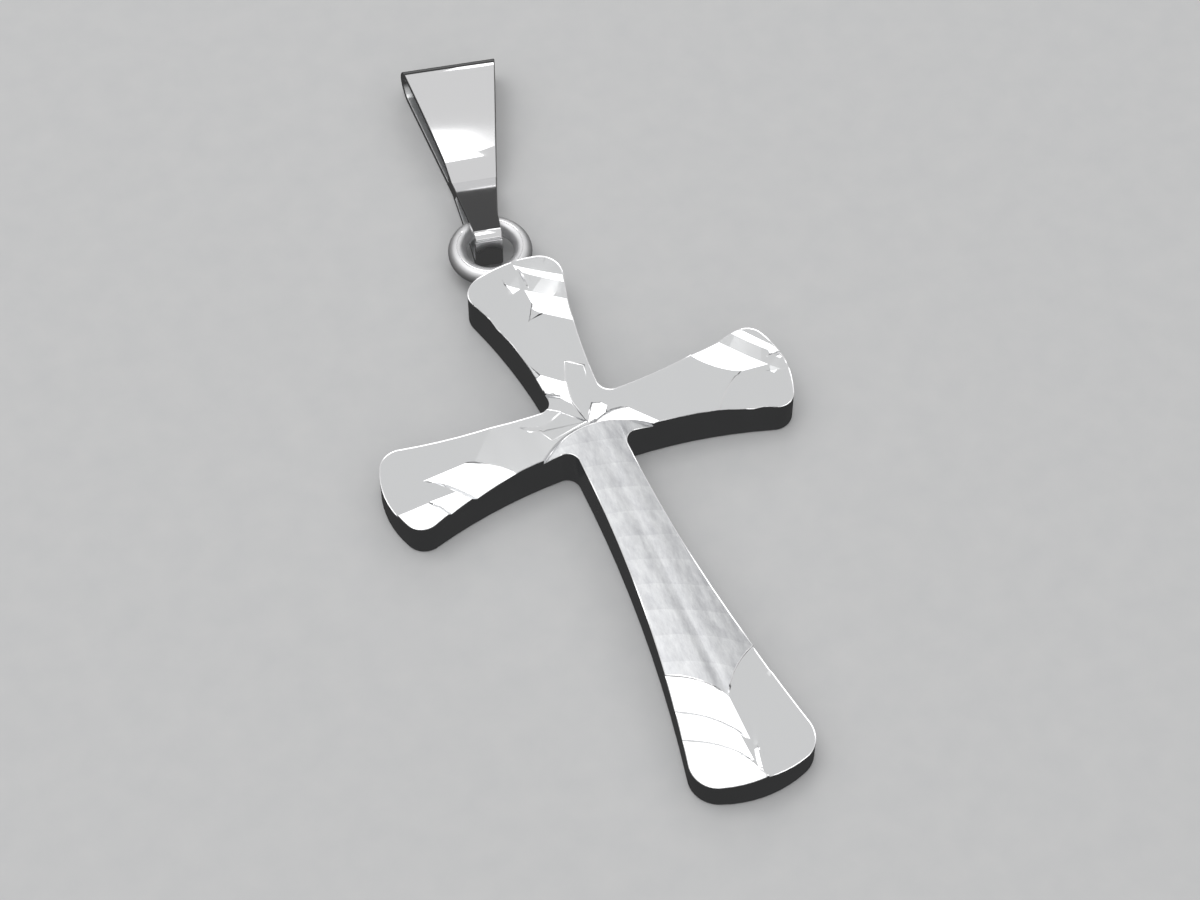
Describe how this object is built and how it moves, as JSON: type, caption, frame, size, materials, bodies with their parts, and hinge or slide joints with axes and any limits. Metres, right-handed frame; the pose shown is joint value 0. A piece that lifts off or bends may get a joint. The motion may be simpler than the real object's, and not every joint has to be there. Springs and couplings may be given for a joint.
{
  "type": "cross pendant with a folded bail",
  "caption": "Flared-arm cross pendant with a diamond-cut front and a soldered eye ring, hung in a tapered folded-strip bail that swings on the eye.",
  "frame": {"origin": "centre of the crossing on the cross's flat back face, which is the face it lies on", "axes": "+Z out of the cut front, +Y along the top arm towards the bail, +X along the cross-bar to the right of someone who looks at the front"},
  "size_m": [0.02, 0.0442, 0.0026],
  "materials": {
    "cut_silver": "bright diamond-cut facets over a fine satin silver front, plain polished walls, satin eye ring",
    "mirror_silver": "mirror-polished silver strip"
  },
  "bodies": {
    "cross": {"cross": "cut_silver"},
    "bail": {"bail": "mirror_silver"}
  },
  "joints": [
    {"name": "bail_swing", "type": "hinge", "parent": "cross", "child": "bail", "pos_m": [0.00018, 0.01342, 0.001], "axis": [0.9799, -0.1994, 0], "range_deg": [-130, 130]}
  ]
}
